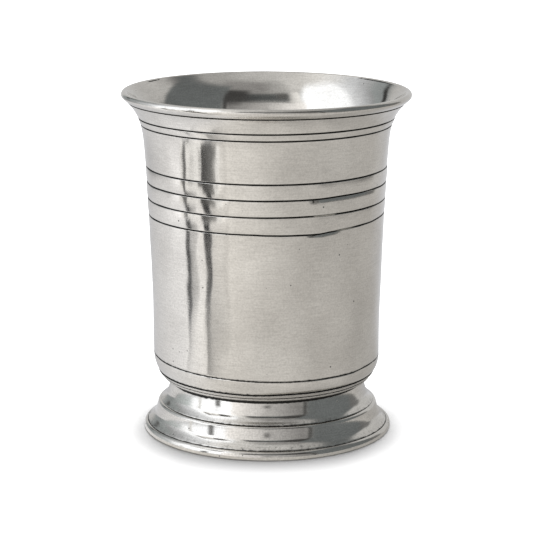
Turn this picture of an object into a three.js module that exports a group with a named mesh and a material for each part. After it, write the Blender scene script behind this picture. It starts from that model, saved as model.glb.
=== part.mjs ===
// A footed pewter tumbler: a flared wall with turned lines, lapped and soldered to a dished bottom,
// which is soldered to a hollow stepped foot. Millimetres, +Z up, origin under the foot's centre.
import * as THREE from 'three';

// Heights, from the table up
const tumblerHeight = 106.5; // table to the top of the lip
const footHeight = 16.3; // table to the cup's seat on the foot
const bowlHeight = 7.3; // seat to the seam between bottom and wall

// Outside diameters
const rimDiameter = 89; // across the lip
const drumDiameter = 70.7; // at the seam
const seatDiameter = 63.4; // under the rounded bottom
const neckDiameter = 60.2; // top of the foot
const ledgeDiameter = 65.3; // foot of the upper cove
const stepDiameter = 67.7; // edge of the foot's step
const footDiameter = 77.8; // across the bottom bead

// Wall of the cup
const wall = 1.9; // thickness of the wall
const taperOut = 3.3; // how far the radius grows from the seam to the lip, flare aside
const taperPower = 1.77; // how late that growth comes
const flareHeight = 24; // length of the flared part
const flarePower = 4.4; // how late the flare turns outwards
const lipRadius = 1.1; // rounding of the lip
const lipOverhang = 1.7; // reach of the lip past the line under it

// Turned lines on the wall, measured down from the top of the lip
const lipLineDrop = 3.1; // line under the lip
const reedDrop = 7.9; // upper line of the reed
const reedHeight = 2.15; // between the reed's two lines
const hoopDrop = 23.1; // top line of the hoops
const hoopCount = 4; // lines, with a crowned band between each two
const hoopPitch = 4.8; // first band's height
const hoopPitchGrowth = 0.2; // each band is this much taller than the one above
const bandCrown = 0.1; // swell of the reed and of each band
const lineWidth = 0.6; // mouth of a turned line
const lineDepth = 0.35; // depth of a turned line

// Bottom of the cup
const bowlPower = 2.2; // fullness of the rounded lower edge
const collarHeight = 2.65; // seat to the line above the collar
const collarLineHeight = 1.45; // seat to the fine line around the collar
const collarSwell = 0.2; // swell of the collar's two small beads
const floorThickness = 2; // seat to the floor inside
const dishRadius = 7; // curve between floor and wall inside

// Lap joint between wall and bottom
const lapHeight = 3.5; // length of the rebate inside the wall
const lapThickness = 0.9; // thickness of the bottom's rim inside the rebate
const lapSolder = 0.7; // height of the solder ring above that rim
const seamChamfer = 0.3; // each edge's chamfer, which together make the seam line

// Foot
const footWall = 2.2; // thickness at the neck and of the top flange
const boreDiameter = 50; // opening in the top flange
const ledgeHeight = 9.45; // table to the foot of the upper cove
const upperLean = 0.15; // outward slope at the top of the upper cove
const upperPower = 2.5; // how late the upper cove turns outwards
const stepDrop = 0.3; // top of the step's edge, down from the foot of the upper cove
const stepRound = 0.6; // rounding of the step's edge
const lowerLean = 0.26; // outward slope at the top of the lower cove
const lowerPower = 5.5; // how late the lower cove turns outwards
const beadHeight = 2.7; // table to the line above the bottom bead
const beadRadius = 1.9; // rounding of the bottom bead
const beadInset = 1.95; // line above the bead, in from the bead's edge
const restEdge = 0.4; // how far the bead draws in where it meets the table
const restWidth = 2.7; // flat ring that the tumbler stands on
const hollowTurn = 3; // height at which the hollow's side turns upright
const hollowReach = 3.5; // how far the hollow narrows by that height

// Joint between cup and foot
const bossDepth = 1; // boss under the cup, inside the foot's bore
const solderLeg = 1; // legs of the solder fillet in the corner of boss and bore
const fit = 0.15; // radial clearance of boss, lap and solder

// Angles of the rounded edges, in degrees up from straight out
const lipFrom = -36; // where the lip's rounding leaves the underside
const lipTo = 144; // where it meets the inside
const stepFrom = 80; // where the step's rounding starts
const stepTo = 0; // where it meets the lower cove
const beadFrom = 66; // where the bead's rounding leaves the line above it
const beadTo = -12; // where it turns in to the table

// Facets
const segments = 48; // around the axis
const curveSteps = 6; // along each curve
const coveSteps = 8; // down each cove of the foot
const drumRings = 4; // between the seam and the hoops
const throatRings = 4; // between the hoops and the reed
const flareRings = 3; // between the reed and the line under the lip
const insideRings = 8; // down the inside of the flare
const bowlRings = 4; // up the rounded bottom

// Derived sizes
const seatZ = footHeight;
const seamZ = seatZ + bowlHeight;
const topZ = tumblerHeight;
const wallHeight = topZ - seamZ;
const rimRadius = rimDiameter / 2;
const drumRadius = drumDiameter / 2;
const seatRadius = seatDiameter / 2;
const boreRadius = boreDiameter / 2;
const lipLineZ = topZ - lipLineDrop;
const flareZ = topZ - flareHeight;

// Radius of the wall without its flare
function taperRadius(z) {
  return drumRadius + taperOut * Math.max(0, (z - seamZ) / wallHeight) ** taperPower;
}

// The flare is set so that the wall reaches the line under the lip
const flareAtLip = ((lipLineZ - flareZ) / flareHeight) ** flarePower;
const flareOut = (rimRadius - lipOverhang - taperRadius(lipLineZ)) / flareAtLip;

function wallRadius(z) {
  return taperRadius(z) + flareOut * Math.max(0, (z - flareZ) / flareHeight) ** flarePower;
}

// Inside of the wall, at an even thickness square to the outside
function innerRadius(z) {
  const step = 0.01;
  const slope = (wallRadius(z + step) - wallRadius(z - step)) / (2 * step);
  return wallRadius(z) - wall * Math.hypot(1, slope);
}

function bowlRadius(z) {
  const below = 1 - (z - seatZ) / bowlHeight;
  return drumRadius - (drumRadius - seatRadius) * below ** bowlPower;
}

function hoopLines() {
  const lines = [];
  let z = topZ - hoopDrop;
  for (let i = 0; i < hoopCount; i += 1) {
    lines.push(z);
    z -= hoopPitch + i * hoopPitchGrowth;
  }
  return lines;
}

// Rings of a turned line: two edges and the bottom of the cut
function cutLine(radiusAt, z, width, depth) {
  const half = width / 2;
  return [
    new THREE.Vector2(radiusAt(z - half), z - half),
    new THREE.Vector2(radiusAt(z) - depth, z),
    new THREE.Vector2(radiusAt(z + half), z + half),
  ];
}

function plainRing(radiusAt, z, swell = 0) {
  return new THREE.Vector2(radiusAt(z) + swell, z);
}

// Heights spread evenly between two others, without the ends
function between(low, high, count) {
  return Array.from({ length: count }, (_, i) => low + ((high - low) * (i + 1)) / (count + 1));
}

function arcPoints(x, z, radius, fromDegrees, toDegrees) {
  const from = THREE.MathUtils.degToRad(fromDegrees);
  const to = THREE.MathUtils.degToRad(toDegrees);
  return new THREE.EllipseCurve(x, z, radius, radius, from, to, to < from).getPoints(curveSteps);
}

function curvePoints(from, control, to) {
  return new THREE.QuadraticBezierCurve(from, control, to).getPoints(curveSteps);
}

// A hollow that starts with a given slope and turns outwards late
function covePoints(top, low, lean, power) {
  const drop = top.y - low.y;
  const turned = low.x - top.x - lean * drop;
  return Array.from({ length: coveSteps + 1 }, (_, i) => {
    const down = i / coveSteps;
    return at(top.x + lean * drop * down + turned * down ** power, top.y - drop * down);
  });
}

function at(radius, z) {
  return new THREE.Vector2(radius, z);
}

// Revolves an outline, given as points in radius and height, about the upright axis
function turn(name, outline, material, closed) {
  const points = outline.slice();
  if (closed) points.push(points[0].clone());
  if (THREE.ShapeUtils.area(points) < 0) points.reverse();
  const geometry = new THREE.LatheGeometry(points, segments);
  geometry.rotateX(Math.PI / 2);
  const mesh = new THREE.Mesh(geometry, material);
  mesh.name = name;
  return mesh;
}

function pewter(color, roughness) {
  return new THREE.MeshStandardMaterial({ color, roughness, metalness: 1 });
}

const satinPewter = pewter(0xbfbcb4, 0.38);
const polishedPewter = pewter(0xb8b6b0, 0.2);
const solder = pewter(0xa9a8a4, 0.5);

const lapZ = seamZ + lapHeight;
const lapInner = innerRadius(lapZ);
const rebateRadius = lapInner + lapThickness + fit;

function cupWall() {
  const hoops = hoopLines();
  const reedTop = topZ - reedDrop;
  const reedLow = reedTop - reedHeight;
  const lowestHoop = hoops[hoops.length - 1];
  const outside = [at(drumRadius - seamChamfer, seamZ), plainRing(wallRadius, seamZ + seamChamfer)];
  between(seamZ, lowestHoop, drumRings).forEach((z) => outside.push(plainRing(wallRadius, z)));
  hoops.slice().reverse().forEach((z, i, lines) => {
    outside.push(...cutLine(wallRadius, z, lineWidth, lineDepth));
    const next = lines[i + 1];
    if (next) outside.push(plainRing(wallRadius, (z + next) / 2, bandCrown));
  });
  between(hoops[0], reedLow, throatRings).forEach((z) => outside.push(plainRing(wallRadius, z)));
  outside.push(...cutLine(wallRadius, reedLow, lineWidth, lineDepth));
  outside.push(plainRing(wallRadius, (reedLow + reedTop) / 2, bandCrown));
  outside.push(...cutLine(wallRadius, reedTop, lineWidth, lineDepth));
  between(reedTop, lipLineZ, flareRings).forEach((z) => outside.push(plainRing(wallRadius, z)));
  outside.push(...cutLine(wallRadius, lipLineZ, lineWidth, lineDepth));
  const lip = arcPoints(rimRadius - lipRadius, topZ - lipRadius, lipRadius, lipFrom, lipTo);
  const throat = between(flareZ, topZ - lipRadius, insideRings).reverse();
  const inside = throat.map((z) => plainRing(innerRadius, z));
  inside.push(plainRing(innerRadius, flareZ), plainRing(innerRadius, (flareZ + lapZ) / 2));
  inside.push(at(lapInner, lapZ), at(rebateRadius, lapZ), at(rebateRadius, seamZ));
  return turn('cup_wall', [...outside, ...lip, ...inside], satinPewter, true);
}

function cupBottom() {
  const floorZ = seatZ + floorThickness;
  const rimZ = lapZ - lapSolder;
  const collarZ = seatZ + collarHeight;
  const bossRadius = boreRadius - fit;
  const outline = [at(0, seatZ - bossDepth), at(bossRadius, seatZ - bossDepth), at(bossRadius, seatZ)];
  outline.push(at(seatRadius, seatZ));
  const fineZ = seatZ + collarLineHeight;
  outline.push(plainRing(bowlRadius, (seatZ + fineZ) / 2, collarSwell));
  outline.push(...cutLine(bowlRadius, fineZ, lineWidth / 2, lineDepth / 2));
  outline.push(plainRing(bowlRadius, (fineZ + collarZ) / 2, collarSwell));
  outline.push(...cutLine(bowlRadius, collarZ, lineWidth, lineDepth));
  between(collarZ, seamZ, bowlRings).forEach((z) => outline.push(plainRing(bowlRadius, z)));
  outline.push(plainRing(bowlRadius, seamZ - seamChamfer), at(drumRadius - seamChamfer, seamZ));
  outline.push(at(lapInner + lapThickness, seamZ), at(lapInner + lapThickness, rimZ), at(lapInner, rimZ));
  const dishEdge = at(lapInner - dishRadius, floorZ);
  outline.push(...curvePoints(at(lapInner, seamZ), at(lapInner, floorZ), dishEdge));
  outline.push(at(0, floorZ));
  return turn('cup_bottom', outline, satinPewter, false);
}

function foot() {
  const neckRadius = neckDiameter / 2;
  const ledgeRadius = ledgeDiameter / 2;
  const stepRadius = stepDiameter / 2;
  const footRadius = footDiameter / 2;
  const fine = lineWidth / 4;
  const stepZ = ledgeHeight - stepDrop;
  const coveZ = stepZ - stepRound - fine;
  const outline = [at(boreRadius, seatZ)];
  outline.push(...covePoints(at(neckRadius, seatZ), at(ledgeRadius, ledgeHeight), upperLean, upperPower));
  outline.push(at(ledgeRadius, stepZ - fine));
  outline.push(...arcPoints(stepRadius - stepRound, stepZ - stepRound, stepRound, stepFrom, stepTo));
  const beadLine = footRadius - beadInset;
  outline.push(...covePoints(at(stepRadius, coveZ), at(beadLine, beadHeight + fine), lowerLean, lowerPower));
  outline.push(at(beadLine, beadHeight - fine));
  const beadX = footRadius - beadRadius;
  const beadZ = beadHeight - beadRadius;
  outline.push(...arcPoints(beadX, beadZ, beadRadius, beadFrom, beadTo));
  outline.push(at(footRadius - restEdge, 0));
  const restInner = footRadius - restEdge - restWidth;
  outline.push(...curvePoints(
    at(restInner, 0),
    at(restInner - hollowReach, hollowTurn),
    at(neckRadius - footWall, seatZ - footWall),
  ));
  outline.push(at(boreRadius, seatZ - footWall));
  return turn('foot', outline, polishedPewter, true);
}

function wallSolder() {
  const outer = rebateRadius - fit;
  const low = lapZ - lapSolder;
  const outline = [at(lapInner, low), at(outer, low), at(outer, lapZ), at(lapInner, lapZ)];
  return turn('wall_solder', outline, solder, true);
}

function footSolder() {
  const top = seatZ - bossDepth;
  const outer = boreRadius - fit;
  const outline = [at(outer, top), at(outer - solderLeg, top), at(outer, top - solderLeg)];
  return turn('foot_solder', outline, solder, true);
}

const tumbler = new THREE.Group();
tumbler.add(cupWall(), cupBottom(), foot(), wallSolder(), footSolder());

export default tumbler;
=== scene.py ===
import math
import bpy
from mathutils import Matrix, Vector, noise


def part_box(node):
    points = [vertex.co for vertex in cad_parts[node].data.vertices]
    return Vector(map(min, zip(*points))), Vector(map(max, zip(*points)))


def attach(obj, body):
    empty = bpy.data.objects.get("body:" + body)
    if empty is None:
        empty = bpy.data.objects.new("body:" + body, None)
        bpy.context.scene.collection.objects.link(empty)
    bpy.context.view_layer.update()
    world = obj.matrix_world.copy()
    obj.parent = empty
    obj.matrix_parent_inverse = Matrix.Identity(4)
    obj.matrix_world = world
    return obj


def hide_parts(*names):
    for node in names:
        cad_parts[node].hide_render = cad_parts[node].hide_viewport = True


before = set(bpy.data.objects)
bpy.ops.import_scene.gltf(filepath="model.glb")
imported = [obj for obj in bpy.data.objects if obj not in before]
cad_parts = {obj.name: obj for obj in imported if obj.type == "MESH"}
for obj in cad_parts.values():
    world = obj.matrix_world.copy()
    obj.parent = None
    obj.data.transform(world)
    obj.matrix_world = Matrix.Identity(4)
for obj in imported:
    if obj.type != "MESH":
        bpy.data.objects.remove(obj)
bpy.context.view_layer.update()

# Pewter tumbler: flared wall with turned lines, dished bottom, stepped foot and two solder rings.
# Sizes in millimetres until a mesh is made; angles in degrees from the front, right positive.
mm = 0.001
tiny = 1e-6
print("frame loaded")


def nodeBox(cadNode):
    low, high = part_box(cadNode)
    return low / mm, high / mm


def mix(a, b, t):
    return a + (b - a) * t


def ease(low, high, value):
    t = min(1.0, max(0.0, (value - low) / (high - low)))
    return t * t * (3 - 2 * t)


def within(span, soft, value):
    # 1 inside the span, falling to 0 across its soft edges
    entered = ease(span[0] - soft, span[0] + soft, value)
    left = ease(span[1] - soft, span[1] + soft, value)
    return entered * (1 - left)


def share(span, value):
    return min(1, max(0, (value - span[0]) / (span[1] - span[0])))


wallLow, wallHigh = nodeBox("cup_wall")
bottomLow, bottomHigh = nodeBox("cup_bottom")
footHigh = nodeBox("foot")[1]
lapSolderLow, lapSolderHigh = nodeBox("wall_solder")
filletLow, filletHigh = nodeBox("foot_solder")
seamZ = wallLow.z
topZ = wallHigh.z
rimRadius = wallHigh.x
seatZ = footHigh.z
footRadius = footHigh.x

# Turning: every piece is an outline of (radius, height, darkening) spun about the upright axis; the
# darkening is grime in the turned lines and painted shade in the crevices

turning = {
    "around": 300,  # facets about the axis
    "sharpAngle": 48,
    "waveDepth": 0.15,  # soft waves left by the hammer and the tool
    "waveLength": 8.0,
    "waveSquash": 0.7,  # makes the waves taller than wide
    "bandShift": 31.0,  # gives each band waves of its own
    "rippleDepth": 0.016,
    "rippleLength": 3.0,
    "seamLean": -0.0185,  # rise of the seam line per millimetre to the right
    "seamBow": 0.45,  # how far the seam climbs at both sides
    "seamAbove": 5.0,  # how far above the seam the lean fades
    "seamBelow": 4.5,
    "rimDrop": 0.007,  # fall of the rim per millimetre to the right of the axis
    "rimDropFrom": (-6, 1),  # heights about the lip line where the fall sets in
    "calmFoot": (13.0, 23.0),  # heights where the waves fade out towards the foot
    "calmLip": (98.0, 104.0),
    "calmInside": (40.0, 60.0),  # the inside is turned smooth above this
    "calmShare": 0.2,
    "lineSteps": 9,  # rows on each side of a turned line
    "lineReach": 1.3,
    "lineDirt": (0.35, 1.15),
}
inside = -1  # stands for a band's number on the inner face


def handTurned(x, y, z, band):
    radius = math.hypot(x, y)
    if radius < tiny:
        return x, y, z
    spot = Vector((x, y, z * turning["waveSquash"] + max(0, band) * turning["bandShift"]))
    wave = noise.noise(spot / turning["waveLength"])
    ripple = noise.noise(spot / turning["rippleLength"])
    calm = turning["calmShare"]
    lively = ease(*turning["calmFoot"], z) * (1 - ease(*turning["calmLip"], z))
    lively = mix(calm, 1.0, lively)
    if band == inside:
        lively = mix(lively, calm, ease(*turning["calmInside"], z))
    sunk = turning["waveDepth"] * calm * ease(calm, 1.0, 1 + calm - lively)
    shift = lively * (turning["waveDepth"] * wave + turning["rippleDepth"] * ripple) - sunk
    shift -= bruiseDepth(x, y, z, radius)
    reach = turning["seamAbove"] if z > seamZ else turning["seamBelow"]
    nearSeam = math.exp(-((z - seamZ) / reach) ** 2)
    climb = turning["seamLean"] * x + turning["seamBow"] * (x / footRadius) ** 2
    fall = turning["rimDrop"] * max(0.0, x) * ease(*turning["rimDropFrom"], z - lipLineZ)
    grow = 1 + shift / radius
    return x * grow, y * grow, z + climb * nearSeam - fall + wander(x, z)


# lines cut by hand that climb or sink along their way, as places across and heights there
wanders = []


def wander(x, z):
    climb = 0.0
    for line in wanders:
        near = math.exp(-((z - line["z"]) / line["reach"]) ** 2)
        if near > 0.001:
            stops = line["stops"]
            height = stops[0][1] if x < stops[0][0] else stops[-1][1]
            for (a, low), (b, high) in zip(stops, stops[1:]):
                if a <= x < b:
                    height = mix(low, high, ease(a, b, x))
            climb += height * near
    return climb


# worn places dented just under a turned line, some darker below it, lines rubbed clean, and places
# darker along the inner edge of the lip
bruises = []
rubs = []
lipEdgeDarks = []
wear = {
    "rubReach": 0.6,
    "rubSoft": 4,
    "darkSoft": 1.5,
    "darkFade": (0.5, 1.0),  # shares of a worn place's reach
    "startSoft": 2,
    "endSoft": 4,
}
leftCreviceShade = {"drop": (0.9, 1.6), "left": (0.25, 0.8), "radius": (28.5, 29.5)}  # painted shade where the crevice over the foot reaches further on the left


def sideOf(x, y):
    return math.degrees(math.atan2(x, -y))


def grimeAndShadeAt(x, y, z, radius, darkening):
    side = sideOf(x, y)
    for rub in rubs:
        if abs(z - rub["z"]) < wear["rubReach"] and radius > rub["outside"]:
            darkening *= 1 - rub["share"] * within(rub["span"], wear["rubSoft"], side)
    # darker just below the line at some dents
    for bruise in bruises:
        below = (bruise["top"] - z) / bruise["reach"]
        if 0 <= below < 1 and radius > bruise["outside"]:
            darkAmount = bruise["darkAmount"] * within(bruise["span"], wear["darkSoft"], side)
            darkening = max(darkening, darkAmount * (1 - ease(*wear["darkFade"], below)))
    for lipEdgeDark in lipEdgeDarks:
        if z > lipEdgeDark["low"] and lipEdgeDark["ring"][0] < radius < lipEdgeDark["ring"][1]:
            darkening = max(darkening, lipEdgeDark["darkAmount"] * within(lipEdgeDark["span"], lipEdgeDark["soft"], side))
    # painted shade: the crevice over the foot is darker and wider on the left
    leftShade = 1 - ease(*leftCreviceShade["drop"], seatZ - z) if z < seatZ else 0.0
    leftShade *= ease(*leftCreviceShade["left"], -x / max(radius, tiny)) * ease(*leftCreviceShade["radius"], radius)
    return max(darkening, leftShade)


def bruiseDepth(x, y, z, radius):
    depth = 0.0
    side = sideOf(x, y)
    for bruise in bruises:
        below = (bruise["top"] - z) / bruise["reach"]
        if 0 <= below < 1 and radius > bruise["outside"]:
            start, end = bruise["span"]
            across = ease(start - wear["startSoft"], start + wear["startSoft"], side)
            across *= 1 - ease(end - wear["endSoft"], end + wear["endSoft"], side)
            depth = max(depth, bruise["depth"] * across * (1 - below))
    return depth


def spin(name, outline, closed, bandAt=None, polishAt=None, settle=None):
    count = turning["around"]
    points, grimeAndShade, polish, rows = [], [], [], []
    for radius, z, darkening in outline:
        band = bandAt(radius, z) if bandAt else 0
        shine = polishAt(radius, z) if polishAt else 0.0
        first = len(points)
        if radius < tiny:
            rows.append([first] * count)
            points.append((0, 0, z * mm))
            grimeAndShade.append(darkening)
            polish.append(shine)
            continue
        for k in range(count):
            angle = 2 * math.pi * k / count
            x, y, h = handTurned(radius * math.cos(angle), radius * math.sin(angle), z, band)
            if settle:
                x, h = settle(x, y, h, radius)
            points.append((x * mm, y * mm, h * mm))
            grimeAndShade.append(grimeAndShadeAt(x, y, z, radius, darkening))
            polish.append(shine)
        rows.append(list(range(first, first + count)))
    pairs = list(zip(rows, rows[1:]))
    if closed:
        pairs.append((rows[-1], rows[0]))
    faces = []
    for low, high in pairs:
        for k in range(count):
            n = (k + 1) % count
            loop = [low[k], low[n], high[n], high[k]]
            faces.append([v for i, v in enumerate(loop) if v != loop[i - 1]])
    mesh = bpy.data.meshes.new(name)
    mesh.from_pydata(points, [], faces)
    mesh.attributes.new("grimeAndShade", "FLOAT", "POINT").data.foreach_set("value", grimeAndShade)
    mesh.attributes.new("polish", "FLOAT", "POINT").data.foreach_set("value", polish)
    mesh.shade_smooth()
    mesh.set_sharp_from_angle(angle=math.radians(turning["sharpAngle"]))
    mesh.validate()
    return placed(name, mesh)


def placed(name, data):
    made = bpy.data.objects.new(name, data)
    bpy.context.scene.collection.objects.link(made)
    return made


def curve(start, pull, end, steps):
    made = []
    for i in range(steps + 1):
        t = i / steps
        a, b, c = (1 - t) ** 2, 2 * t * (1 - t), t * t
        radius, z = (a * s + b * p + c * e for s, p, e in zip(start, pull, end))
        made.append((radius, z, 0.0))
    return made


def arc(x, z, radius, fromDegrees, toDegrees, steps):
    made = []
    for i in range(steps + 1):
        angle = math.radians(mix(fromDegrees, toDegrees, i / steps))
        made.append((x + radius * math.cos(angle), z + radius * math.sin(angle), 0.0))
    return made


def swell(z, edges):
    # roundness across the band between two edges, 0 outside them
    for low, high in edges:
        if low < z < high:
            across = (z - low) / (high - low) * 2 - 1
            return 1 - across * across
    return 0.0


def lineShape(z, lines):
    # depth of the cut and its grime at one height
    depth, darkening = 0.0, 0.0
    for line in lines:
        across = abs(z - line["z"]) / line["half"]
        if across < 1:
            depth = max(depth, line["depth"] * (0.5 + 0.5 * math.cos(math.pi * across)))
        darkening = max(darkening, 1 - ease(*turning["lineDirt"], across))
    return depth, darkening


def heightsFor(low, high, lines, coarse, fine):
    count = max(2, round((high - low) / coarse))
    heights = {round(mix(low, high, i / count), 4) for i in range(count + 1)}
    steps = turning["lineSteps"]
    for line in lines:
        for i in range(-steps, steps + 1):
            z = line["z"] + line["half"] * turning["lineReach"] * i / steps
            if low < z < high:
                heights.add(round(z, 4))
    ordered = sorted(heights)
    kept = [ordered[0]]
    for z in ordered[1:]:
        if z - kept[-1] > fine:
            kept.append(z)
    return kept


# Wall

wall = {
    "drumRadius": 35.35,
    "thickness": 1.9,
    "taperOut": 3.3,
    "taperPower": 1.77,
    "flareHeight": 24.0,
    "flarePower": 4.4,
    "lipRadius": 1.1,
    "lipOverhang": 1.7,
    "lipArc": (-36, 144),
    "lipSteps": 24,
    "lipJoin": 0.18,  # softens the turn from the lip to the inner face
    "lipLineDrop": 3.1,
    "lipLineOver": 0.45,
    "reedDrop": 7.9,
    "reedHeight": 2.15,
    "hoopDrop": 22.98,
    "hoopCount": 4,
    "hoopPitch": 4.8,
    "hoopPitchGrowth": 0.2,
    "crown": 0.1,
    "lineHalf": 0.32,
    "lineDepth": 0.3,
    "rowHeight": 0.45,
    "rowLeast": 0.03,
    "innerRows": 90,
    "lapHeight": 3.5,
    "lapThickness": 0.9,
    "fit": 0.15,
    "seamEdge": 0.22,
    "seamGrime": 0.85,
    "seamShade": 0.5,
    "seamFade": (0.3, 0.5),
    "insideFrom": 0.6,  # share of the thickness
    "dullRise": (62.0, 84.0),  # the inside is dull below and polished above
    "lipPolish": (0.3, 1.2),
    "lipEdgeRing": (2.1, 1.85),  # in from the rim
    "lipEdgeDrop": 0.8,
}
lipLineZ = topZ - wall["lipLineDrop"]
flareZ = topZ - wall["flareHeight"]


def taperRadius(z):
    up = max(0.0, (z - seamZ) / (topZ - seamZ))
    return wall["drumRadius"] + wall["taperOut"] * up ** wall["taperPower"]


def flareAt(z):
    return max(0.0, (z - flareZ) / wall["flareHeight"]) ** wall["flarePower"]


flareOut = (rimRadius - wall["lipOverhang"] - taperRadius(lipLineZ)) / flareAt(lipLineZ)


def wallRadius(z):
    return taperRadius(z) + flareOut * flareAt(z)


def innerRadius(z):
    step = 0.01
    slope = (wallRadius(z + step) - wallRadius(z - step)) / (2 * step)
    return wallRadius(z) - wall["thickness"] * math.hypot(1, slope)


hoops = []
hoopZ = topZ - wall["hoopDrop"]
for i in range(wall["hoopCount"]):
    hoops.append(hoopZ)
    hoopZ -= wall["hoopPitch"] + i * wall["hoopPitchGrowth"]
reedTop = topZ - wall["reedDrop"]
reedLow = reedTop - wall["reedHeight"]
bandEdges = sorted([*hoops, reedLow, reedTop, lipLineZ])
crowned = [*zip(sorted(hoops), sorted(hoops)[1:]), (reedLow, reedTop)]
wallLines = [{"z": z, "half": wall["lineHalf"], "depth": wall["lineDepth"]} for z in bandEdges]
wornPlaces = [
    # which hoop line, degrees from and to, reach below it, depth, darkening below the line
    (1, (21, 60), 0.9, 0.24, 0.0),
    (1, (20.5, 24.5), 1.8, 0.2, 0.6),
    (3, (19, 36), 0.95, 0.24, 0.0),
    (3, (20, 25), 0.8, 0.1, 0.6),
]
for index, span, reach, depth, darkAmount in wornPlaces:
    bruises.append({"top": hoops[index], "span": span, "reach": reach, "depth": depth,
                    "darkAmount": darkAmount, "outside": wall["drumRadius"]})
rubs.append({"z": hoops[2], "span": (22, 34), "share": 0.85, "outside": wall["drumRadius"]})
rubs.append({"z": hoops[3], "span": (34, 46), "share": 0.7, "outside": wall["drumRadius"]})
lowHoop = [(-4, 0), (0, -0.15), (7.6, -0.28), (15.3, -0.38),
           (19.2, -0.06), (23, 0.2), (30.7, 0.4), (34.6, 0.6)]
highHoop = [(15, 0), (23, 0.2), (31, 0.24), (36, 0.05)]
seamEnd = [(26, 0), (31, 0.4), (35.5, 0.42)]
wanders.append({"z": hoops[3], "reach": 2.2, "stops": lowHoop})
wanders.append({"z": hoops[1], "reach": 2.2, "stops": highHoop})
wanders.append({"z": seamZ, "reach": 2.0, "stops": seamEnd})
# darker along the inner edge of the lip
innerEdge = tuple(rimRadius - drop for drop in wall["lipEdgeRing"])
lipEdgeLow = topZ - wall["lipEdgeDrop"]
lipEdgeDarks.append({"low": lipEdgeLow, "ring": innerEdge, "span": (112, 136), "soft": 7, "darkAmount": 0.85})
lipEdgeDarks.append({"low": lipEdgeLow, "ring": innerEdge, "span": (-127, -117), "soft": 5, "darkAmount": 0.85})
lapZ = seamZ + wall["lapHeight"]
lapInner = innerRadius(lapZ)
rebateRadius = lapInner + wall["lapThickness"] + wall["fit"]


def isInside(radius, z):
    return radius < wallRadius(min(z, lipLineZ)) - wall["thickness"] * wall["insideFrom"]


def bandOf(radius, z):
    if isInside(radius, z):
        return inside
    return sum(1 for edge in bandEdges if z > edge)


def insidePolish(radius, z):
    # the lip and the upper inside are smoother than the drum, the lower inside is dull
    if isInside(radius, z):
        return mix(-1.0, 1.0, ease(*wall["dullRise"], z))
    return ease(*wall["lipPolish"], z - lipLineZ)


def makeWall():
    seamPoint = (wall["drumRadius"] - wall["seamEdge"], seamZ, wall["seamGrime"])
    outline = [seamPoint]
    start, stop = seamZ + wall["seamEdge"], lipLineZ + wall["lipLineOver"]
    for z in heightsFor(start, stop, wallLines, wall["rowHeight"], wall["rowLeast"]):
        depth, darkening = lineShape(z, wallLines)
        nearSeam = 1 - ease(*wall["seamFade"], z - seamZ)
        radius = wallRadius(z) + wall["crown"] * swell(z, crowned) - depth
        outline.append((radius, z, max(darkening, wall["seamShade"] * nearSeam)))
    lip = wall["lipRadius"]
    outline += arc(rimRadius - lip, topZ - lip, lip, *wall["lipArc"], wall["lipSteps"])
    edge = outline[-1]
    inner = []
    for i in range(wall["innerRows"]):
        z = mix(topZ - lip, lapZ, (i + 1) / wall["innerRows"])
        inner.append((innerRadius(z), z, 0.0))
    outline.append(tuple(mix(a, b, wall["lipJoin"]) for a, b in zip(edge, inner[0])))
    outline += inner
    outline += [(rebateRadius, lapZ, 0.0), (rebateRadius, seamZ, 0.0)]
    return spin("cupWall", outline, True, bandOf, insidePolish)


# Bottom

bottom = {
    "seatRadius": 31.7,
    "bowlPower": 2.2,
    "collarHeight": 2.65,
    "collarLineHeight": 1.45,
    "floorThickness": 2.0,
    "dishRadius": 7.0,
    "dishSteps": 24,
    "floorRings": (16, 8, 0),
    "bossRadius": 24.85,
    "lineHalf": 0.36,
    "lineDepth": 0.32,
    "fineHalf": 0.2,
    "fineDepth": 0.14,
    "beadSwell": 0.28,
    "seatEdge": 0.12,
    "rowHeight": 0.3,
    "rowLeast": 0.03,
    "seatShadeFade": (0.4, 0.9),
    "shadeAboveCollar": 0.45,  # painted shade, thin, above the collar line
    "shadeAboveCollarFade": (0.3, 1.0),
    "shadeAboveCollarReach": 1.2,
}
collarLineZ = seatZ + bottom["collarLineHeight"]
collarZ = seatZ + bottom["collarHeight"]
collarBeads = [(seatZ, collarLineZ), (collarLineZ, collarZ)]
bottomLines = [
    {"z": collarLineZ, "half": bottom["fineHalf"], "depth": bottom["fineDepth"]},
    {"z": collarZ, "half": bottom["lineHalf"], "depth": bottom["lineDepth"]},
]
wanders.append({"z": collarZ, "reach": 0.9, "stops": [(-6, 0), (8, 0.3), (30, 0.33)]})


def bowlRadius(z):
    below = max(0.0, 1 - (z - seatZ) / (seamZ - seatZ))
    tuck = wall["drumRadius"] - bottom["seatRadius"]
    return wall["drumRadius"] - tuck * below ** bottom["bowlPower"]


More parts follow.
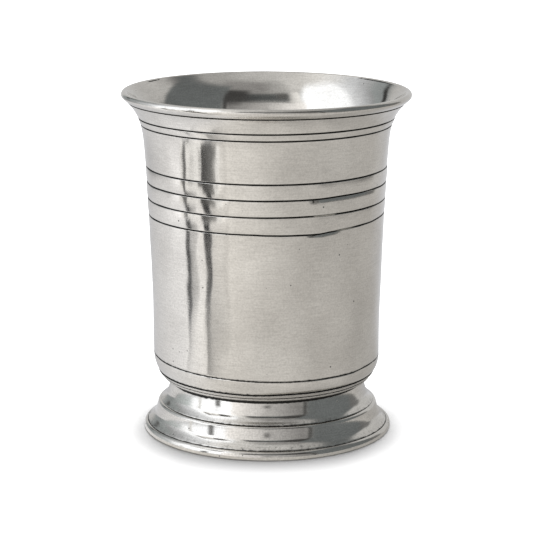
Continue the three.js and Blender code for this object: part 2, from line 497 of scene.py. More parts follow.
def makeBottom():
    bossZ = bottomLow.z
    rimZ = bottomHigh.z
    floorZ = seatZ + bottom["floorThickness"]
    boss = bottom["bossRadius"]
    outline = [(0, bossZ, 0), (boss / 2, bossZ, 0), (boss, bossZ, 0), (boss, seatZ, 0)]
    # painted shade: the seat edge in the crevice over the foot is fully dark
    outline.append((bottom["seatRadius"], seatZ, 1.0))
    start, stop = seatZ + bottom["seatEdge"], seamZ - wall["seamEdge"]
    for z in heightsFor(start, stop, bottomLines, bottom["rowHeight"], bottom["rowLeast"]):
        depth, darkening = lineShape(z, bottomLines)
        nearSeam = 1 - ease(*wall["seamFade"], seamZ - z)
        # painted shade fading up from the crevice over the foot
        seatShade = 1 - ease(*bottom["seatShadeFade"], z - seatZ)
        shadeAboveCollar = 0.0
        # painted shade above the collar line, where the bowl turns in
        if z > collarZ:
            shadeAboveCollar = bottom["shadeAboveCollar"] * (1 - ease(*bottom["shadeAboveCollarFade"], (z - collarZ) / bottom["shadeAboveCollarReach"]))
        radius = bowlRadius(z) + bottom["beadSwell"] * swell(z, collarBeads) - depth
        outline.append((radius, z, max(darkening, wall["seamShade"] * nearSeam, seatShade, shadeAboveCollar)))
    outline.append((wall["drumRadius"] - wall["seamEdge"], seamZ, wall["seamGrime"]))
    spigot = lapInner + wall["lapThickness"]
    outline += [(spigot, seamZ, 0), (spigot, rimZ, 0), (lapInner, rimZ, 0)]
    dishEnd = (lapInner - bottom["dishRadius"], floorZ)
    outline += curve((lapInner, seamZ), (lapInner, floorZ), dishEnd, bottom["dishSteps"])
    outline += [(radius, floorZ, 0) for radius in bottom["floorRings"]]
    return spin("cupBottom", outline, False, None, insidePolish)


# Foot

foot = {
    "neckRadius": 30.1,
    "neckEdge": 0.5,
    "seatGap": 0.1,
    "boreRadius": 25.0,
    "topWall": 2.2,
    "offCentre": 0.2,  # the foot sits a little to the right, with its mouldings tipped
    "looseFrom": 0.2,  # the flange round the bore stays where it is
    "tipRight": -0.004,
    "tipBack": -0.018,
    "tipFrom": (0.3, 2.5),  # heights where the tip sets in and dies away
    "tipTo": (11, 15),
    "ledgeRadius": 33.4,
    "ledgeHeight": 8.92,
    # coves: slope at the top, its steady growth, where they turn out and how softly
    "upper": {"lean": 0.19, "growth": 0.2, "turnAt": 0.785, "turnSoft": 0.17},
    "lower": {"lean": 0.2, "growth": 0.26, "turnAt": 0.68, "turnSoft": 0.21},
    "coveSteps": 60,
    "stepSteps": 20,
    "beadSteps": 16,
    "flankSteps": 12,
    "restSteps": 6,
    "hollowSteps": 24,
    "stepRadius": 34.4,
    "stepTop": 8.67,
    "stepRound": 1.1,
    "stepFrom": 84,  # degrees where the rounded step starts
    "stepLine": (0.04, -0.02),  # the line under the upper cove, out and up from the ledge
    "beadLine": 37.5,
    "beadHeight": 2.45,
    "beadCut": (0.3, -0.35),
    "beadRound": 1.5,
    "beadFrom": 72.0,  # degrees where the round top leaves the line above it
    "beadFlank": 1.4,  # radius of the nearly upright face of the bead
    "flankLean": 47.0,  # degrees where the two curves of the bead meet
    "flankLow": 0.7,
    "lineGrime": 0.85,
    # painted shade in the crevice under the cup, fading down the upper cove
    "creviceShade": (0.65, 1.3),
    "corner": 0.3,
    "cornerFade": (0.15, 0.5),
    "dust": 0.33,  # thin grime where each cove runs out
    "upperDust": (0.4, 1.3),
    "lowerDust": (0.5, 1.6),
    "restRadius": 38.5,
    "restWidth": 2.7,
    "hollowTurn": 3.0,
    "hollowReach": 3.5,
}


def cove(top, low, bend):
    # the outline leans out slowly, then turns out to meet the ledge below
    steps = foot["coveSteps"]
    drop, reach = top[1] - low[1], low[0] - top[0]
    turned = (reach / drop - bend["lean"] - bend["growth"] / 2) / (1 - bend["turnAt"])
    bendSpan = (bend["turnAt"] - bend["turnSoft"], bend["turnAt"] + bend["turnSoft"])
    made, out = [], 0.0
    for i in range(steps + 1):
        made.append((top[0] + out, top[1] - drop * i / steps))
        middle = (i + 0.5) / steps
        turn = ease(*bendSpan, middle)
        out += drop / steps * (bend["lean"] + bend["growth"] * middle + turned * turn)
    return made


def settleFoot(x, y, z, radius):
    flangeEnd = foot["neckRadius"] - foot["topWall"]
    loose = ease(foot["boreRadius"] + foot["looseFrom"], flangeEnd, radius)
    tipped = ease(*foot["tipFrom"], z) * (1 - ease(*foot["tipTo"], z))
    climb = foot["tipRight"] * x + foot["tipBack"] * y
    return x + foot["offCentre"] * loose, z + climb * tipped


def makeFoot():
    ledge = (foot["ledgeRadius"], foot["ledgeHeight"])
    # painted shade: the top face of the foot in the crevice is fully dark
    outline = [(foot["boreRadius"], seatZ, 0.0), (foot["neckRadius"] - foot["neckEdge"], seatZ, 1.0)]
    for radius, z in cove((foot["neckRadius"], seatZ - foot["seatGap"]), ledge, foot["upper"]):
        # painted shade at the top of the upper cove, under the cup
        creviceShade = 1 - ease(*foot["creviceShade"], seatZ - z)
        corner = foot["corner"] * (1 - ease(*foot["cornerFade"], ledge[0] - radius))
        dust = foot["dust"] * (1 - ease(*foot["upperDust"], z - ledge[1]))
        outline.append((radius, z, max(creviceShade, corner, dust)))
    # rounded step that runs into the lower cove
    coveLean = math.degrees(math.atan(foot["lower"]["lean"]))
    middleX = foot["stepRadius"] - foot["stepRound"] * math.cos(math.radians(coveLean))
    middleZ = foot["stepTop"] - foot["stepRound"]
    out, up = foot["stepLine"]
    outline.append((ledge[0] + out, foot["stepTop"] + up, foot["lineGrime"]))
    outline += arc(middleX, middleZ, foot["stepRound"], foot["stepFrom"], coveLean, foot["stepSteps"])
    coveTop = (foot["stepRadius"], middleZ + foot["stepRound"] * math.sin(math.radians(coveLean)))
    beadTop = (foot["beadLine"], foot["beadHeight"])
    for radius, z in cove(coveTop, beadTop, foot["lower"])[1:]:
        dust = foot["dust"] * (1 - ease(*foot["lowerDust"], z - beadTop[1]))
        outline.append((radius, z, dust))
    # bead: a small round top over a nearly upright face
    flankX, flankZ = footRadius - foot["beadFlank"], foot["flankLow"]
    lean = math.radians(foot["flankLean"])
    smaller = foot["beadFlank"] - foot["beadRound"]
    roundX, roundZ = flankX + smaller * math.cos(lean), flankZ + smaller * math.sin(lean)
    out, up = foot["beadCut"]
    outline.append((beadTop[0] + out, beadTop[1] + up, foot["lineGrime"]))
    beadArc = (foot["beadFrom"], foot["flankLean"])
    outline += arc(roundX, roundZ, foot["beadRound"], *beadArc, foot["beadSteps"])
    flankArc = (foot["flankLean"], 0)
    outline += arc(flankX, flankZ, foot["beadFlank"], *flankArc, foot["flankSteps"])[1:]
    rest = (foot["restRadius"], 0.0)
    outline += curve((footRadius, flankZ), (footRadius, 0.0), rest, foot["restSteps"])[1:]
    # hollow underside
    restInner = foot["restRadius"] - foot["restWidth"]
    hollowTop = (foot["neckRadius"] - foot["topWall"], seatZ - foot["topWall"])
    hollowPull = (restInner - foot["hollowReach"], foot["hollowTurn"])
    outline += curve((restInner, 0.0), hollowPull, hollowTop, foot["hollowSteps"])
    outline.append((foot["boreRadius"], hollowTop[1], 0.0))
    return spin("footRing", outline, True, None, None, settleFoot)


# Solder

solder = {"fillet": 0.35, "steps": 8, "grimeAndShade": 0.2}


def makeLapSolder():
    low, high = lapSolderLow.z, lapSolderHigh.z
    outer = lapSolderHigh.x
    grimeAndShade = solder["grimeAndShade"]
    outline = [(lapInner, low, grimeAndShade), (outer, low, 0.0), (outer, high, 0.0), (lapInner, high, grimeAndShade)]
    return spin("lapSolder", outline, True)


def makeFootSolder():
    top, low = filletHigh.z, filletLow.z
    outer = filletHigh.x
    inner = outer - (top - low)
    hollow = solder["fillet"]
    outline = [(outer, top, 0.0), (inner, top, 0.0)]
    pull = (outer - hollow, top - hollow)
    outline += curve((inner, top), pull, (outer, low), solder["steps"])[1:]
    return spin("footSolder", outline, True)


# Finishes

pewter = {
    "bright": (0.68, 0.658, 0.617, 1),
    "dull": (0.6, 0.577, 0.538, 1),
    "grimeAndShade": (0.035, 0.034, 0.032, 1),
    "pit": (0.09, 0.088, 0.085, 1),
    # scale and detail of each noise
    "blotchNoise": (55, 5),
    "markNoise": (1.0, 3),
    "streakNoise": (1.0, 2),
    "speckleNoise": (1900, 1),
    "breakNoise": (900, 2),
    "blotchRange": (0.35, 0.65),
    "markScale": (60, 60, 4200),
    "streakScale": (260, 260, 3300),
    "breakShare": 0.7,
    "grimeAndShadeRange": (0.64, 1.1),
    "grimeAndShadeRough": 0.6,
    "dullRough": 0.5,
    "roughSpread": (1.2, 0.8),
    "markDepth": 0.00003,
    "pitCore": 0.5,  # share of a pit that has its full depth
    "pitStrength": 0.6,
    "pitDepth": 0.0001,
}


def feed(tree, socket, value):
    if isinstance(value, bpy.types.NodeSocket):
        tree.links.new(value, socket)
    else:
        socket.default_value = value


def node(tree, kind, inputs, **settings):
    made = tree.nodes.new(kind)
    for key, value in settings.items():
        setattr(made, key, value)
    for name, value in inputs.items():
        feed(tree, made.inputs[name], value)
    return made


def calculate(tree, operation, *values):
    inputs = dict(enumerate(values))
    return node(tree, "ShaderNodeMath", inputs, operation=operation).outputs["Value"]


def blend(tree, kind, factor, first, second, **settings):
    inputs = {"Factor": factor, "A": first, "B": second}
    return node(tree, "ShaderNodeMix", inputs, data_type=kind, **settings).outputs["Result"]


def smoothRange(tree, value, low, high):
    inputs = {"Value": value, "From Min": low, "From Max": high}
    return node(tree, "ShaderNodeMapRange", inputs, interpolation_type="SMOOTHSTEP").outputs["Result"]


def noiseAt(tree, spot, scale, detail):
    inputs = {"Vector": spot, "Scale": scale, "Detail": detail}
    return node(tree, "ShaderNodeTexNoise", inputs).outputs["Fac"]


def stretched(tree, spot, scale):
    return node(tree, "ShaderNodeMapping", {"Vector": spot, "Scale": scale}).outputs["Vector"]


def meshValue(tree, name):
    return node(tree, "ShaderNodeAttribute", {}, attribute_name=name).outputs["Fac"]


def pewterFinish(name, look):
    material = bpy.data.materials.new(name)
    material.use_nodes = True
    tree = material.node_tree
    shader = tree.nodes["Principled BSDF"]
    spot = node(tree, "ShaderNodeTexCoord", {}).outputs["Object"]
    # slow blotches of duller metal
    blotch = noiseAt(tree, spot, *pewter["blotchNoise"])
    tone = node(tree, "ShaderNodeValToRGB", {"Fac": blotch})
    shades = (pewter["dull"], pewter["bright"])
    for stop, position, shade in zip(tone.color_ramp.elements, pewter["blotchRange"], shades):
        stop.position = position
        stop.color = shade
    # turning marks run round the axis, with short brushed streaks and fine speckle in the tone
    marks = noiseAt(tree, stretched(tree, spot, pewter["markScale"]), *pewter["markNoise"])
    streaks = noiseAt(tree, stretched(tree, spot, pewter["streakScale"]), *pewter["streakNoise"])
    speckle = noiseAt(tree, spot, *pewter["speckleNoise"])
    least = 1.0 - look["streak"] / 2 - look["speckle"] / 2
    streaked = calculate(tree, "MULTIPLY_ADD", streaks, look["streak"], least)
    grain = calculate(tree, "MULTIPLY_ADD", speckle, look["speckle"], streaked)
    grained = blend(tree, "RGBA", 1.0, tone.outputs["Color"], grain, blend_type="MULTIPLY")
    # grime in the turned lines and painted shade in the crevices, broken up a little
    broken = noiseAt(tree, spot, *pewter["breakNoise"])
    darkAmount = calculate(tree, "MULTIPLY_ADD", broken, pewter["breakShare"], meshValue(tree, "grimeAndShade"))
    grimeAndShade = smoothRange(tree, darkAmount, *pewter["grimeAndShadeRange"])
    # small casting pits in a few of the cells
    cells = node(tree, "ShaderNodeTexVoronoi", {"Vector": spot, "Scale": look["pitScale"]})
    core = look["pitSize"] * pewter["pitCore"]
    middle = smoothRange(tree, cells.outputs["Distance"], look["pitSize"], core)
    parts = node(tree, "ShaderNodeSeparateColor", {"Color": cells.outputs["Color"]})
    few = calculate(tree, "LESS_THAN", parts.outputs["Red"], look["pitShare"])
    pits = calculate(tree, "MULTIPLY", middle, few)
    pitted = blend(tree, "RGBA", pits, grained, pewter["pit"])
    colour = blend(tree, "RGBA", grimeAndShade, pitted, pewter["grimeAndShade"])
    # rougher where grimy or in painted shade, and where dull
    low, high = (look["rough"] * spread for spread in pewter["roughSpread"])
    sheen = node(tree, "ShaderNodeMapRange", {"Value": blotch, "To Min": low, "To Max": high})
    polish = meshValue(tree, "polish")
    buffed = blend(tree, "FLOAT", polish, sheen.outputs["Result"], look["buffed"])
    unpolished = calculate(tree, "MULTIPLY", polish, -1.0)
    dulled = blend(tree, "FLOAT", unpolished, buffed, pewter["dullRough"])
    rough = blend(tree, "FLOAT", grimeAndShade, dulled, pewter["grimeAndShadeRough"])
    bump = node(tree, "ShaderNodeBump", {
        "Strength": look["marks"], "Distance": pewter["markDepth"], "Height": marks,
    })
    dent = node(tree, "ShaderNodeBump", {
        "Strength": pewter["pitStrength"], "Distance": pewter["pitDepth"], "Height": pits,
        "Normal": bump.outputs["Normal"],
    }, invert=True)
    tangent = node(tree, "ShaderNodeTangent", {}, direction_type="RADIAL", axis="Z")
    surface = {
        "Base Color": colour,
        "Roughness": rough,
        "Normal": dent.outputs["Normal"],
        "Metallic": 1.0,
        "Anisotropic": look["stretch"],
        "Anisotropic Rotation": look["turn"],
        "Tangent": tangent.outputs["Tangent"],
    }
    for socket, value in surface.items():
        feed(tree, shader.inputs[socket], value)
    return material


satin = pewterFinish("satinPewter", {
    "rough": 0.115, "buffed": 0.08, "marks": 0.3, "stretch": 0.92, "turn": 0.25,
    "streak": 0.34, "speckle": 0.4, "pitScale": 420, "pitSize": 0.12, "pitShare": 0.08,
})
polished = pewterFinish("polishedPewter", {
    "rough": 0.11, "buffed": 0.11, "marks": 0.15, "stretch": 0.2, "turn": 0.0,
    "streak": 0.34, "speckle": 0.44, "pitScale": 420, "pitSize": 0.13, "pitShare": 0.12,
})
softSolder = pewterFinish("softSolder", {
    "rough": 0.42, "buffed": 0.42, "marks": 0.2, "stretch": 0.0, "turn": 0.0,
    "streak": 0.1, "speckle": 0.16, "pitScale": 500, "pitSize": 0.2, "pitShare": 0.2,
})
print("finishes made")

fitted = [
    (makeWall(), "cup_wall", "pewter_satin", satin),
    (makeBottom(), "cup_bottom", "pewter_satin", satin),
    (makeFoot(), "foot", "pewter_polished", polished),
    (makeLapSolder(), "wall_solder", "solder", softSolder),
    (makeFootSolder(), "foot_solder", "solder", softSolder),
]
for piece, cadNode, slotName, finish in fitted:
    piece.data.materials.append(finish)
    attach(piece, "root")
    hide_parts(cadNode)
    print("fitted", piece.name, len(piece.data.polygons), "faces")

# Studio, in metres

studio = {
    "floorSize": 8.0,
    "floorColour": (0.82, 0.82, 0.82, 1),
    "floorGlow": 0.8,
    "coverReach": 0.025,
    "coverRange": (0.66, 0.97),
    "coverSamples": 12,
    "worldSoft": (0.5, 0.5, 0.505, 1),
}


def seenDirectly(tree):
    # 1 for camera, glossy and transmission rays
    path = node(tree, "ShaderNodeLightPath", {}).outputs
    first = calculate(tree, "MAXIMUM", path["Is Camera Ray"], path["Is Glossy Ray"])
    return calculate(tree, "MAXIMUM", first, path["Is Transmission Ray"])


def bareMaterial(name):
    material = bpy.data.materials.new(name)
    material.use_nodes = True
    tree = material.node_tree
    tree.nodes.remove(tree.nodes["Principled BSDF"])
    return material, tree, tree.nodes["Material Output"].inputs["Surface"]


def makeWorld():
    world = bpy.data.worlds.new("studioWhite")
    bpy.context.scene.world = world
    world.use_nodes = True
    tree = world.node_tree
    white = tree.nodes["Background"]
    white.inputs["Color"].default_value = (1, 1, 1, 1)
    white.inputs["Strength"].default_value = 1.0
    soft = node(tree, "ShaderNodeBackground", {"Color": studio["worldSoft"]})
    pick = node(tree, "ShaderNodeMixShader", {
        "Fac": seenDirectly(tree), 1: soft.outputs["Background"], 2: white.outputs["Background"],
    })
    feed(tree, tree.nodes["World Output"].inputs["Surface"], pick.outputs["Shader"])


def makeFloor():
    half = studio["floorSize"] / 2
    corners = [(-half, -half, 0), (half, -half, 0), (half, half, 0), (-half, half, 0)]
    mesh = bpy.data.meshes.new("floorSheet")
    mesh.from_pydata(corners, [], [(0, 1, 2, 3)])
    floor = placed("floorSheet", mesh)
    material, tree, surface = bareMaterial("paleFloor")
    matt = node(tree, "ShaderNodeBsdfDiffuse", {"Color": studio["floorColour"]})
    # painted contact shadow: the glow dies away where the foot covers the floor
    reach = {"Distance": studio["coverReach"]}
    cover = node(tree, "ShaderNodeAmbientOcclusion", reach, samples=studio["coverSamples"])
    lit = node(tree, "ShaderNodeMapRange", {
        "Value": cover.outputs["AO"], "From Min": studio["coverRange"][0],
        "From Max": studio["coverRange"][1], "To Max": studio["floorGlow"],
    })
    level = calculate(tree, "MULTIPLY", seenDirectly(tree), lit.outputs["Result"])
    glow = node(tree, "ShaderNodeEmission", {"Strength": level})
    both = node(tree, "ShaderNodeAddShader", {0: matt.outputs["BSDF"], 1: glow.outputs["Emission"]})
    feed(tree, surface, both.outputs["Shader"])
    mesh.materials.append(material)


def around(side, distance, z):
    angle = math.radians(side)
    return distance * math.sin(angle), -distance * math.cos(angle), z


def glowMesh(name, points, colours, columns):
    faces = []
    for row in range(len(points) // columns - 1):
        for column in range(columns - 1):
            a = row * columns + column
            faces.append((a, a + 1, a + columns + 1, a + columns))
    mesh = bpy.data.meshes.new(name)
    mesh.from_pydata(points, [], faces)
    paint = mesh.color_attributes.new("glow", "FLOAT_COLOR", "POINT")
    paint.data.foreach_set("color", [value for colour in colours for value in colour])
    card = placed(name, mesh)
    material, tree, surface = bareMaterial(name + "Glow")
    painted = node(tree, "ShaderNodeVertexColor", {}, layer_name="glow").outputs
    glow = node(tree, "ShaderNodeEmission", {"Color": painted["Color"]})
    clear = node(tree, "ShaderNodeBsdfTransparent", {})
    fade = node(tree, "ShaderNodeMixShader", {
        "Fac": painted["Alpha"], 1: clear.outputs["BSDF"], 2: glow.outputs["Emission"],
    })
    feed(tree, surface, fade.outputs["Shader"])
    material.cycles.emission_sampling = "NONE"
    mesh.materials.append(material)
    card.visible_camera = False
    card.visible_diffuse = False
    card.visible_shadow = False


# Tent of light and dark panels all round

tent = {
    "radius": 1.2,
    "step": 1.0,
    "lowest": -1,
    "riseStep": 1.5,
    "rows": 61,
    "level": 0.4,
    "leanFrom": 36,  # an edge with a lean draws in above this rise
    "leanOver": 24,
}
tints = {
    "plain": (1, 1, 1),
    "warm": (1.01, 1.0, 1.005),
    "cool": (0.92, 1.0, 1.035),
    "clear": (0.965, 1.0, 1.06),
}


def panel(side, rise, soft, level, tint="plain", lean=0):
    return {"side": side, "rise": rise, "soft": soft, "level": level, "tint": tints[tint], "lean": lean}


tentPanels = {
    # degrees round, degrees up, softness of both, level at the two sides; later ones cover earlier ones
    "ceiling": panel((-200, 200), (-20, 100), (1, 1), (0.6, 0.5)),
    "ceilingLeft": panel((-150, -24), (50, 84), (12, 8), (1.25, 0.86)),
    "ceilingRight": panel((-4, 66), (47, 72), (12, 6), (0.36, 0.38), "warm"),
    "ceilingBack": panel((66, 150), (47, 61), (8, 2.5), (0.3, 0.3), "warm"),
    "zenith": panel((-200, 200), (75, 100), (1, 7), (0.88, 0.6)),
    "backRight": panel((120, 200), (-20, 45), (5, 8), (0.64, 0.66)),
    "backLeft": panel((-200, -150), (-20, 45), (8, 8), (0.62, 0.66)),
    "leftDim": panel((-152, -126), (-20, 45), (6, 8), (0.35, 0.48), "cool"),
    "leftGlow": panel((-128, -92), (-20, 54), (5, 8), (0.44, 1.25), "clear"),
    "leftUp": panel((-136, -92), (42, 60), (6, 9), (0.5, 1.25), "clear"),
    "sideBox": panel((-96, -38), (-20, 62), (6, 7), (1.6, 1.9), "clear", 13),
    "darkStrip": panel((-145.5, -140.5), (14, 21), (1.2, 3), (0.12, 0.12)),
    "darkStripUp": panel((-149.5, -143.5), (18, 32), (1.2, 2), (0.05, 0.05)),
    "frontCard": panel((-42, 4), (-20, 30.5), (4.5, 1.5), (1.46, 0.62), "warm"),
    "frontCardRight": panel((-1, 41), (-20, 30.5), (3, 1.5), (0.66, 0.27), "warm"),
    "frontCardEnd": panel((27, 42), (25, 33), (4, 2.5), (0.26, 0.14), "warm"),
    "frontLeftUp": panel((-37, -24), (28, 50), (3, 3), (1.5, 0.6)),
    "frontFlag": panel((-24, 46), (30.5, 46.5), (3.5, 3), (0.15, 0.06), "cool"),
    "frontFlagLeft": panel((-23, -11), (36, 47.5), (4, 2.5), (0.15, 0.15)),
    "frontFlagRight": panel((20, 50), (29.5, 53), (8, 3), (0.08, 0.07)),
    "rightFlag": panel((46, 119.5), (-20, 60), (3, 5), (0.21, 0.19), "cool"),
    "cornerDark": panel((41.5, 46), (-20, 46), (1.2, 4), (0.08, 0.08)),
    "cornerLight": panel((38.5, 41), (-20, 12), (1, 2), (0.4, 0.4)),
    "leftLow": panel((-140, -97), (-20, 13), (6, 5), (0.3, 0.86), "cool"),
    "leftSill": panel((-108, -37), (-20, 3.5), (5, 3), (0.9, 0.85), "clear"),
    "rightLow": panel((108, 127), (-20, 22), (4, 6), (0.19, 0.24)),
    "frontPatch": panel((-3.6, 3.2), (10, 16.5), (1.2, 1.5), (0.22, 0.22)),
    "boxBar": panel((-62, -55.5), (-20, 16.5), (0.8, 2), (0.16, 0.16)),
    "boxLine": panel((-85, -81.5), (-20, 16), (0.8, 2), (0.95, 0.95)),
}


def tentLight(side, rise):
    colour = [tent["level"]] * 3
    for card in tentPanels.values():
        drawn = card["lean"] * max(0.0, (rise - tent["leanFrom"]) / tent["leanOver"]) ** 2
        span = (card["side"][0], card["side"][1] - drawn)
        weight = within(span, card["soft"][0], side) * within(card["rise"], card["soft"][1], rise)
        level = mix(*card["level"], share(card["side"], side))
        colour = [mix(c, level * t, weight) for c, t in zip(colour, card["tint"])]
    return [*colour, 1.0]


def makeTent():
    columns = round(360 / tent["step"]) + 1
    points, colours = [], []
    for row in range(tent["rows"]):
        rise = tent["lowest"] + tent["riseStep"] * row
        level, height = math.cos(math.radians(rise)), math.sin(math.radians(rise))
        for column in range(columns):
            side = -180 + column * tent["step"]
            points.append(around(side, tent["radius"] * level, tent["radius"] * height))
            colours.append(tentLight(side, rise))
    glowMesh("lightTent", points, colours, columns)


# Sheet of light on the floor round the tumbler

sheet = {
    "inner": 0.0391,
    "outer": 1.19,
    "height": 0.0002,
    "step": 0.5,
    "rings": 96,
    "near": 0.19,  # distances for the two sets of edges of a mark
    "far": 0.262,
    "closest": 1.7,
    "beyond": (0.42, 0.55),  # distances where the far ends take over
    "farRight": {"side": (50, 119), "soft": 5, "level": 0.22},
    "farLeft": {"side": (-150, -95), "soft": 6, "fade": (-138, -95), "level": (0.36, 0.9)},
    "farGain": 1.03,
    "farGainFrom": (0.262, 0.3),
    "coolLeft": (-90, -30),
    "coolRight": (110, 150),
    "firstLevel": 0.65,
    # degrees from and to, and the level reached there
    "levels": [(-165, -75, 1.11), (-50, 48, 0.635), (56, 80, 0.6), (118, 172, 0.72)],
    "firstShade": 0.76,  # darker close to the tumbler
    "shades": [(-150, -60, 0.85), (-50, 48, 0.8)],
    "shadeFade": (0.05, 0.14),
    # degrees and their softness, distances and their softness, gain
    "patches": [
        ((4, 70), 14, (0.05, 0.112), 0.015, 0.22),
        ((-44, -2), 8, (0.05, 0.112), 0.015, -0.07),
        ((-34, 26), 10, (0.276, 9), 0.014, -0.1),
        ((-38, 10), 10, (0.11, 0.19), 0.02, -0.12),
        ((84, 130), 12, (0.1, 0.2), 0.02, -0.1),
        ((26, 78), 12, (0.14, 0.19), 0.02, 0.07),
    ],
    "coolTint": {"red": (1.02, 0.995), "blue": (0.975, 1.03)},
    "shadowCool": 2.5,
}


def mark(side, soft, start, level, stop=None, near=None, cool=False):
    return {"side": side, "soft": soft, "start": start, "level": level, "stop": stop,
            "near": near or side, "cool": cool}


sheetMarks = {
    # painted pool of window light and painted shadows of bars across it; start and stop: distances;
    # near: edges closer to the tumbler
    "brightPatch": mark((-79, -57.5), 1.5, (0.06, 0.19), (1.2, 1.2)),
    "shadeNear": mark((-57, -34), 0.9, (0.07, 0.11), (0.45, 0.93), near=(-55, -34)),
    "shadeFar": mark((-57, -38), 0.9, (0.165, 0.2), (0.8, 0.96)),
    "openFar": mark((-100, -38), 6, (0.235, 0.26), (1.22, 1.05)),
    "brightFar": mark((-95, -40), 6, (0.34, 0.45), (1.6, 1.6)),
    "thinShadowFade": mark((-76, -66), 0.6, (0.17, 0.22), (0.1, 0.82), (0.27, 0.285), (-74, -66)),
    "thinShadowTail": mark((-74.8, -66.5), 0.7, (0.06, 0.08), (0.84, 1.12), (0.165, 0.2)),
    "thinBarShadow": mark((-80.4, -75.2), 0.5, (0.14, 0.195), (0.0, 0.03), (0.33, 0.36), (-77, -73.2), True),
    "wideBarShadow": mark((-58.1, -51.5), 0.5, (0.165, 0.21), (0.0, 0.02), (0.33, 0.36), (-56, -49.9), True),
}


def sheetLight(side, distance):
    level, shade = sheet["firstLevel"], sheet["firstShade"]
    for start, stop, reached in sheet["levels"]:
        level = mix(level, reached, ease(start, stop, side))
    for start, stop, reached in sheet["shades"]:
        shade = mix(shade, reached, ease(start, stop, side))
    level *= mix(shade, 1.0, ease(*sheet["shadeFade"], distance))
    for span, soft, reach, reachSoft, gain in sheet["patches"]:
        level *= 1 + gain * within(span, soft, side) * within(reach, reachSoft, distance)
    # the far ends are dark on the right and fade on the left
    far = ease(*sheet["beyond"], distance)
    right, left = sheet["farRight"], sheet["farLeft"]
    level = mix(level, right["level"], far * within(right["side"], right["soft"], side))
    leftLevel = mix(*left["level"], ease(*left["fade"], side))
    level = mix(level, leftLevel, far * within(left["side"], left["soft"], side))
    level *= mix(1.0, sheet["farGain"], ease(*sheet["farGainFrom"], distance))
    cool = max(1 - ease(*sheet["coolLeft"], side), ease(*sheet["coolRight"], side))
    nearness = (1 / distance - 1 / sheet["far"]) / (1 / sheet["near"] - 1 / sheet["far"])
    closer = min(sheet["closest"], max(0, nearness))
    for paintedMark in sheetMarks.values():
        span = [mix(a, b, closer) for a, b in zip(paintedMark["side"], paintedMark["near"])]
        weight = within(span, paintedMark["soft"], side) * ease(*paintedMark["start"], distance)
        if paintedMark["stop"]:
            weight *= 1 - ease(*paintedMark["stop"], distance)
        level = mix(level, mix(*paintedMark["level"], share(span, side)), weight)
        if paintedMark["cool"]:
            cool = mix(cool, sheet["shadowCool"], weight)
    red, blue = (mix(*ends, cool) for ends in sheet["coolTint"].values())
    return [level * red, level, level * blue, 1.0]


def makeSheet():
    columns = round(360 / sheet["step"]) + 1
    points, colours = [], []
    for ring in range(sheet["rings"] + 1):
        distance = sheet["inner"] * (sheet["outer"] / sheet["inner"]) ** (ring / sheet["rings"])
        for column in range(columns):
            side = -180 + column * sheet["step"]
            points.append(around(side, distance, sheet["height"]))
            colours.append(sheetLight(side, distance))
    glowMesh("floorLight", points, colours, columns)


# Upright glowing card beside the flare, seen only in reflections, with painted dark strips across it

lightCard = {
    "distance": 0.1,
    "low": 0.0575,
    "high": 0.095,
    "side": (-74, -36),
    "sideSoft": 0.8,
    "endSoft": 0.06,
    "columns": 161,
    "rows": 25,
    "level": {"upper": 1.13, "lower": 1.25},
    "turn": 0.0685,  # height where the strips change
    "strips": [
        {"side": (-72.2, -67.4), "soft": 0.4, "level": (0.16, 0.16), "part": "upper"},
        {"side": (-71.2, -68.0), "soft": 0.4, "level": (0.2, 0.2), "part": "lower"},
        {"side": (-63.8, -59.6), "soft": 0.5, "level": (0.6, 0.66), "part": "upper"},
        {"side": (-54.6, -41.2), "soft": 0.5, "level": (0.02, 0.26), "part": "upper"},
        {"side": (-52.0, -39.8), "soft": 0.5, "level": (0.03, 0.34), "part": "lower"},
        {"side": (-38.8, -36.7), "soft": 0.6, "level": (0.85, 0.85), "part": "upper"},
    ],
}


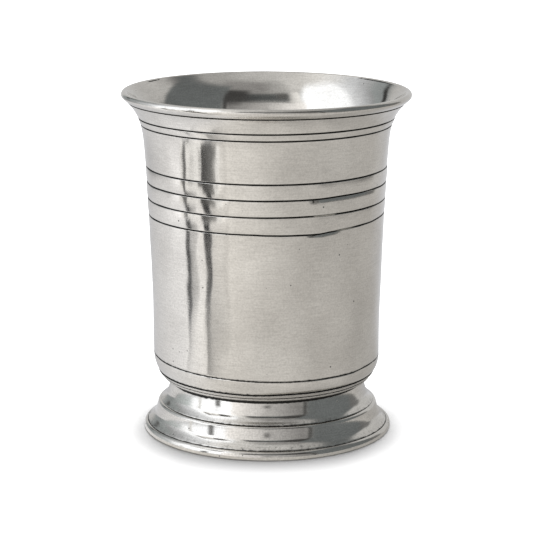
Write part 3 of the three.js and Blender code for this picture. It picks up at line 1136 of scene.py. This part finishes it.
def flagLight(side, z):
    part = "upper" if z > lightCard["turn"] else "lower"
    level = lightCard["level"][part]
    for strip in lightCard["strips"]:
        if strip["part"] == part:
            stripLevel = mix(*strip["level"], share(strip["side"], side))
            level = mix(level, stripLevel, within(strip["side"], strip["soft"], side))
    return level


def makeLightCard():
    points, colours = [], []
    for row in range(lightCard["rows"]):
        up = row / (lightCard["rows"] - 1)
        z = mix(lightCard["low"], lightCard["high"], up)
        for column in range(lightCard["columns"]):
            side = mix(*lightCard["side"], column / (lightCard["columns"] - 1))
            points.append(around(side, lightCard["distance"], z))
            shown = within(lightCard["side"], lightCard["sideSoft"], side) * within((0, 1), lightCard["endSoft"], up)
            colours.append([flagLight(side, z)] * 3 + [shown])
    glowMesh("flareLightCard", points, colours, lightCard["columns"])


# Lamp and camera

lamp = {"size": 0.5, "energy": 7, "place": (0.02, 0.55, 0.9), "aim": (0, 0, 0.03)}
camera = {
    "distance": 0.6077, "rise": 12.95, "aim": 0.05084, "lens": 131.5, "sensor": 36, "clip": (0.01, 50),
}


def pointAt(item, aim):
    item.rotation_euler = (aim - item.location).to_track_quat("-Z", "Y").to_euler()


def makeLamp():
    data = bpy.data.lights.new("softLamp", "AREA")
    data.shape = "RECTANGLE"
    data.size = lamp["size"]
    data.size_y = lamp["size"]
    data.energy = lamp["energy"]
    made = placed("softLamp", data)
    made.location = lamp["place"]
    pointAt(made, Vector(lamp["aim"]))
    made.visible_glossy = False


def makeCamera():
    data = bpy.data.cameras.new("photoCamera")
    data.lens = camera["lens"]
    data.sensor_width = camera["sensor"]
    data.clip_start, data.clip_end = camera["clip"]
    made = placed("photoCamera", data)
    rise = math.radians(camera["rise"])
    aim = Vector((0, 0, camera["aim"]))
    made.location = aim + camera["distance"] * Vector((0, -math.cos(rise), math.sin(rise)))
    pointAt(made, aim)
    bpy.context.scene.camera = made


makeWorld()
makeFloor()
makeTent()
makeSheet()
makeLightCard()
makeLamp()
makeCamera()
bpy.context.scene.view_settings.view_transform = "Standard"
print("studio ready")
